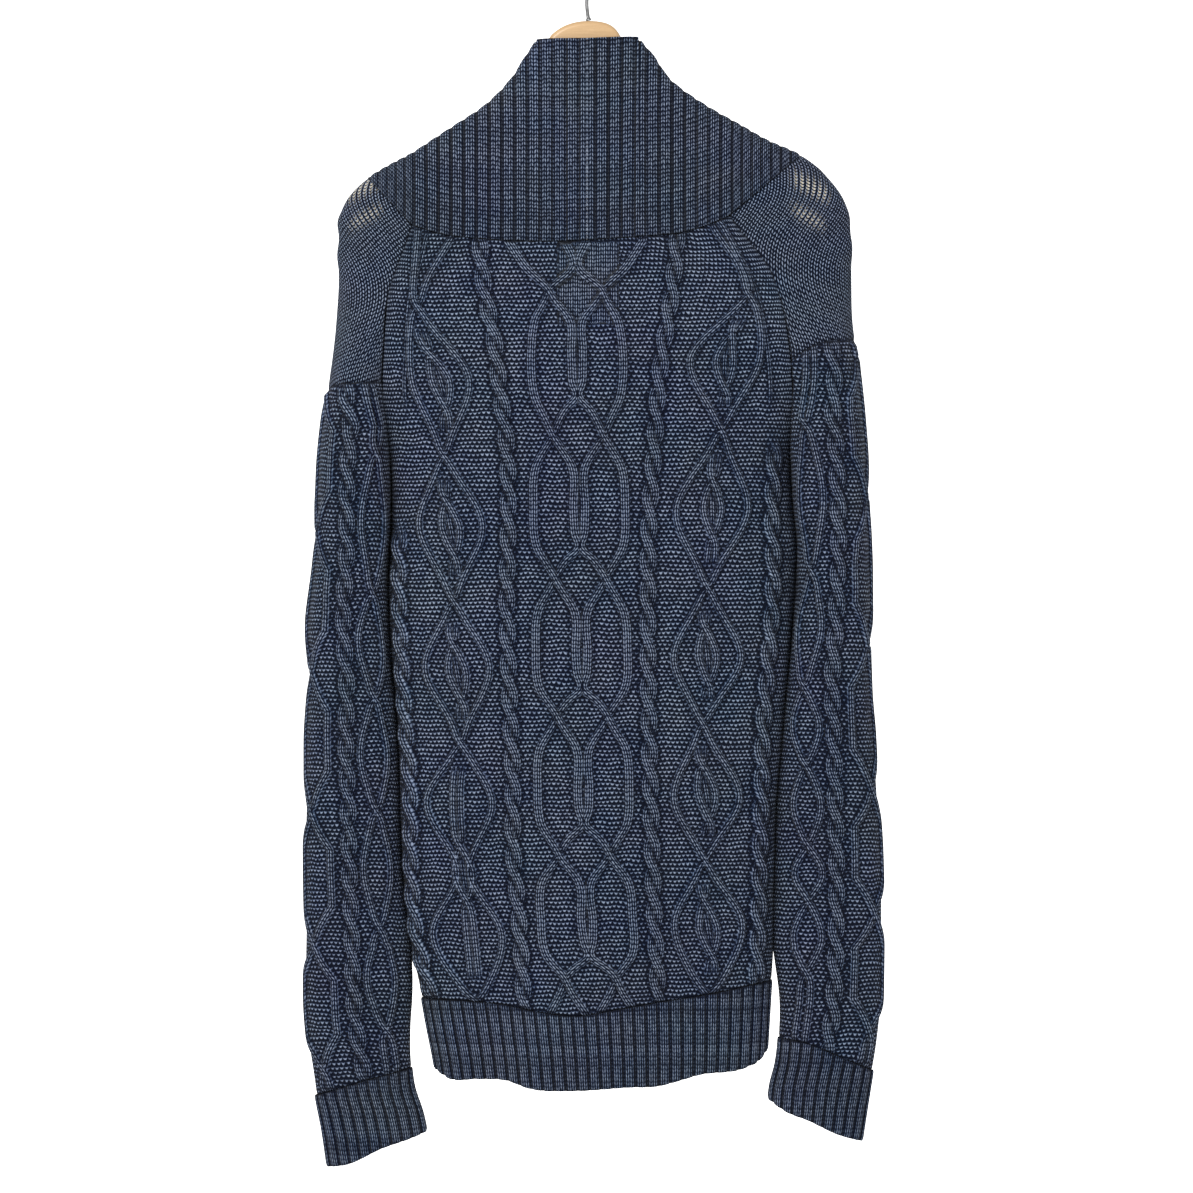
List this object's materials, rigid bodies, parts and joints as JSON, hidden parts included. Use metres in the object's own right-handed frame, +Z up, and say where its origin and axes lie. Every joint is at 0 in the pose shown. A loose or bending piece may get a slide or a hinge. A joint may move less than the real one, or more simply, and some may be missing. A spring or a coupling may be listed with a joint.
{
  "type": "cable knit cardigan on a wooden hanger",
  "caption": "Cable knit cardigan with raglan sleeves, a wide ribbed shawl collar and ribbed hem and cuffs, hung on a flat wooden hanger with a steel hook.",
  "frame": {"origin": "the inside top of the hanger's hook, where it rests on a rod", "axes": "+Z up, +Y out of the cardigan's front, so the pictured back faces -Y; +X is the picture's right, the wearer's right"},
  "size_m": [0.5011, 0.1211, 1.072],
  "materials": {
    "cable_knit": "matte washed cotton yarn, faded slate blue, mottled",
    "rib_knit": "the same yarn in rib, a little darker",
    "hanger_wood": "clear satin varnish on light beech",
    "hook_steel": "plated steel wire"
  },
  "bodies": {
    "root": {"back": "cable_knit", "front_left": "cable_knit", "front_right": "cable_knit", "sleeve_yoke_left": "cable_knit", "sleeve_yoke_right": "cable_knit", "sleeve_left": "cable_knit", "sleeve_right": "cable_knit", "hem_back": "rib_knit", "hem_front_left": "rib_knit", "hem_front_right": "rib_knit", "front_band_left": "rib_knit", "front_band_right": "rib_knit", "collar_left": "rib_knit", "collar_right": "rib_knit", "cuff_left": "rib_knit", "cuff_right": "rib_knit", "hanger_wood": "hanger_wood", "hanger_hook": "hook_steel"}
  },
  "joints": []
}
